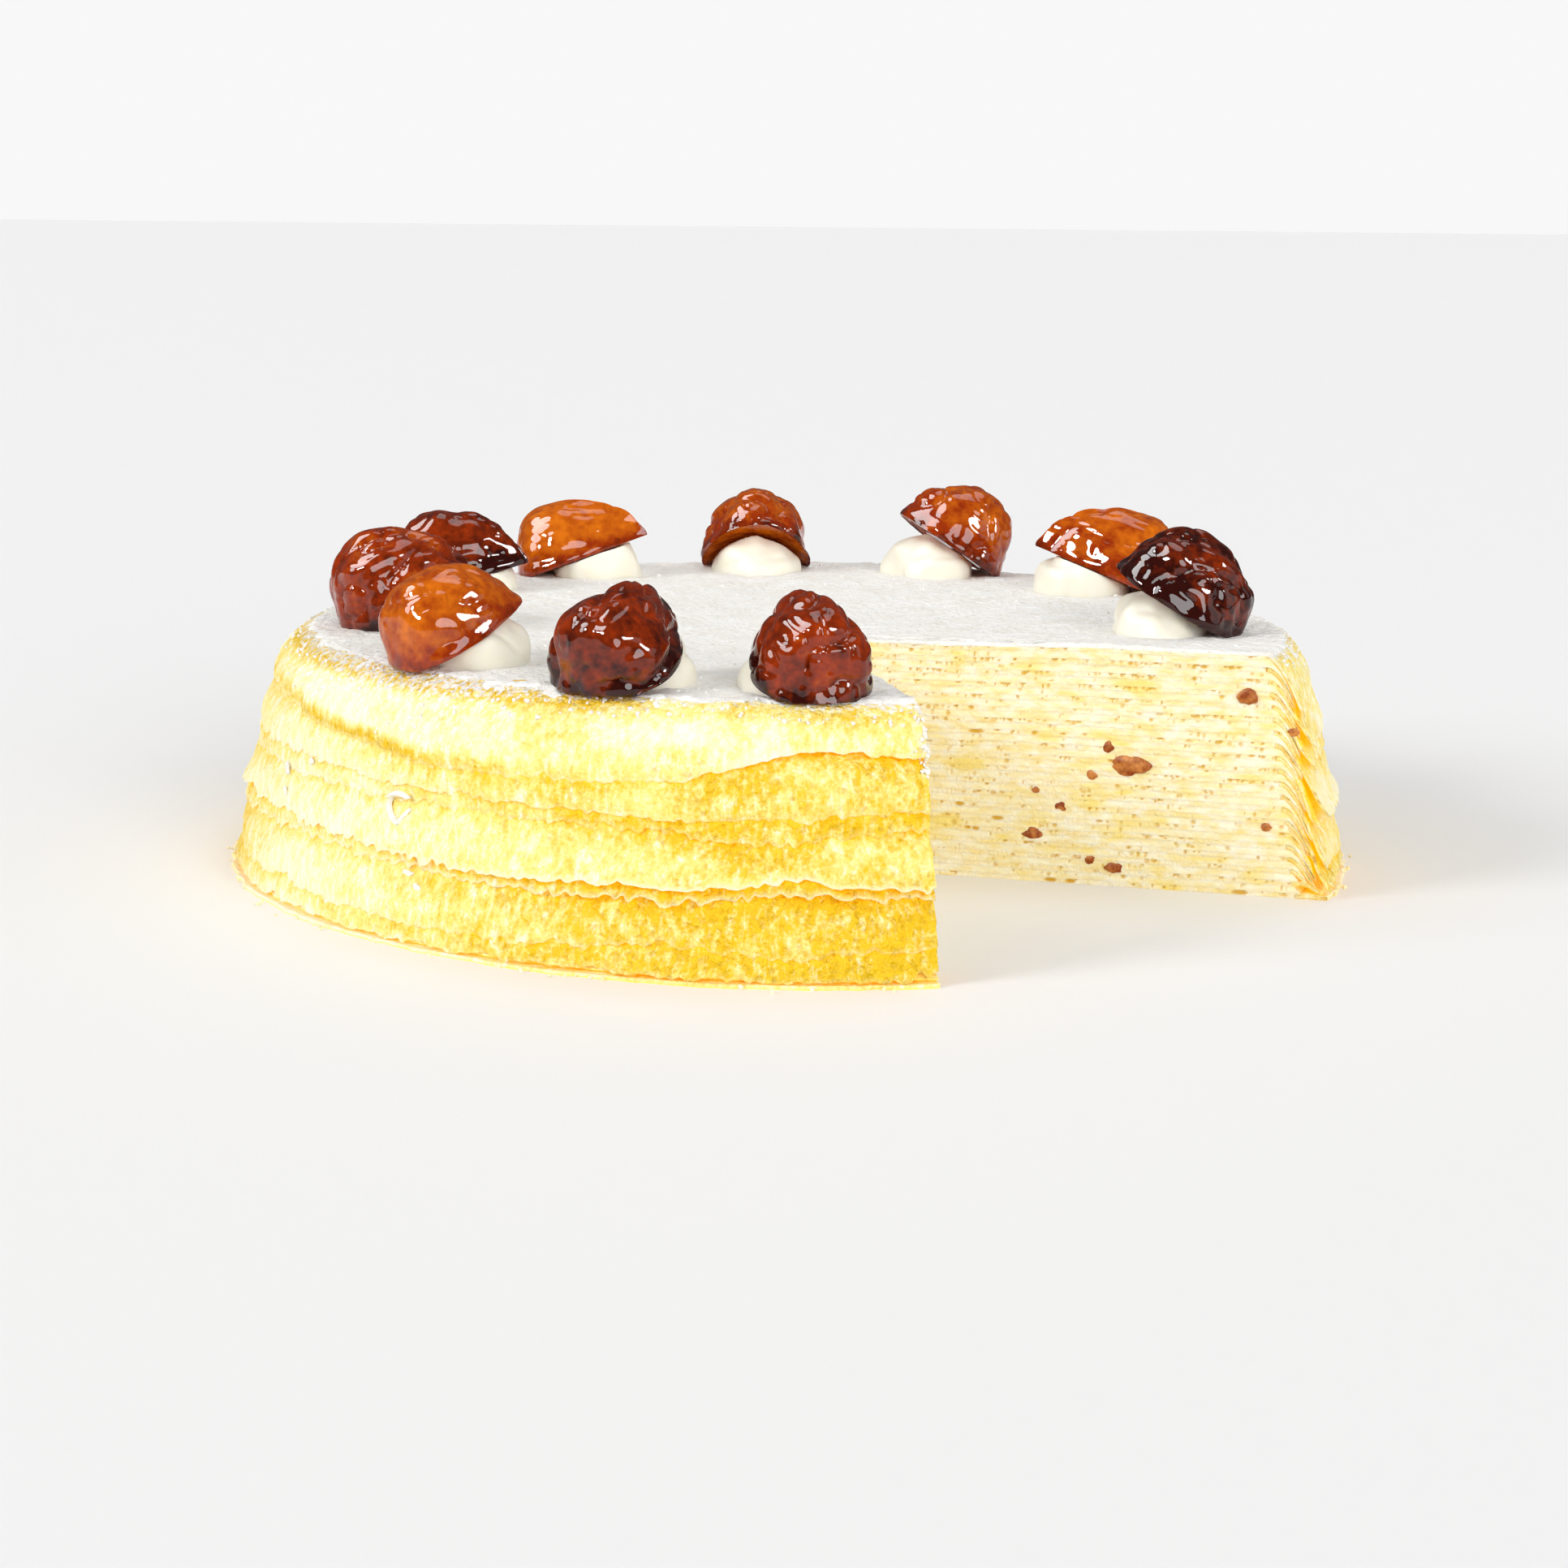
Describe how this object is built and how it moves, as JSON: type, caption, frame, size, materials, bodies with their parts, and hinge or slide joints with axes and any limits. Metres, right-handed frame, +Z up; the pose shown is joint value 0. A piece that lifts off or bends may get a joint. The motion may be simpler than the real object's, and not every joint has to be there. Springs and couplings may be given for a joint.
{
  "type": "crepe cake",
  "caption": "Round mille crepe cake with a wedge cut out, dusted with sugar and ringed with candied chestnuts on whipped cream.",
  "frame": {"origin": "on the surface the cake stands on, under the middle of the cake", "axes": "+Z up out of the top of the cake, -Y to the front; the missing wedge opens to +X and -Y"},
  "size_m": [0.229, 0.2332, 0.0702],
  "materials": {
    "crepe": "matte",
    "pastry_cream": "satin",
    "candied_chestnut": "gloss",
    "whipped_cream": "satin"
  },
  "bodies": {
    "root": {"crepe_01": "crepe", "crepe_02": "crepe", "crepe_03": "crepe", "crepe_04": "crepe", "crepe_05": "crepe", "crepe_06": "crepe", "crepe_07": "crepe", "crepe_08": "crepe", "crepe_09": "crepe", "crepe_10": "crepe", "crepe_11": "crepe", "crepe_12": "crepe", "crepe_13": "crepe", "crepe_14": "crepe", "crepe_15": "crepe", "crepe_16": "crepe", "crepe_17": "crepe", "crepe_18": "crepe", "crepe_19": "crepe", "crepe_20": "crepe", "cream_01": "pastry_cream", "cream_02": "pastry_cream", "cream_03": "pastry_cream", "cream_04": "pastry_cream", "cream_05": "pastry_cream", "cream_06": "pastry_cream", "cream_07": "pastry_cream", "cream_08": "pastry_cream", "cream_09": "pastry_cream", "cream_10": "pastry_cream", "cream_11": "pastry_cream", "cream_12": "pastry_cream", "cream_13": "pastry_cream", "cream_14": "pastry_cream", "cream_15": "pastry_cream", "cream_16": "pastry_cream", "cream_17": "pastry_cream", "cream_18": "pastry_cream", "cream_19": "pastry_cream", "chestnut_01": "candied_chestnut", "chestnut_02": "candied_chestnut", "chestnut_03": "candied_chestnut", "chestnut_04": "candied_chestnut", "chestnut_05": "candied_chestnut", "chestnut_06": "candied_chestnut", "chestnut_07": "candied_chestnut", "chestnut_08": "candied_chestnut", "chestnut_09": "candied_chestnut", "chestnut_10": "candied_chestnut", "cream_dollop_01": "whipped_cream", "cream_dollop_02": "whipped_cream", "cream_dollop_03": "whipped_cream", "cream_dollop_04": "whipped_cream", "cream_dollop_05": "whipped_cream", "cream_dollop_06": "whipped_cream", "cream_dollop_07": "whipped_cream", "cream_dollop_08": "whipped_cream", "cream_dollop_09": "whipped_cream", "cream_dollop_10": "whipped_cream"}
  },
  "joints": []
}
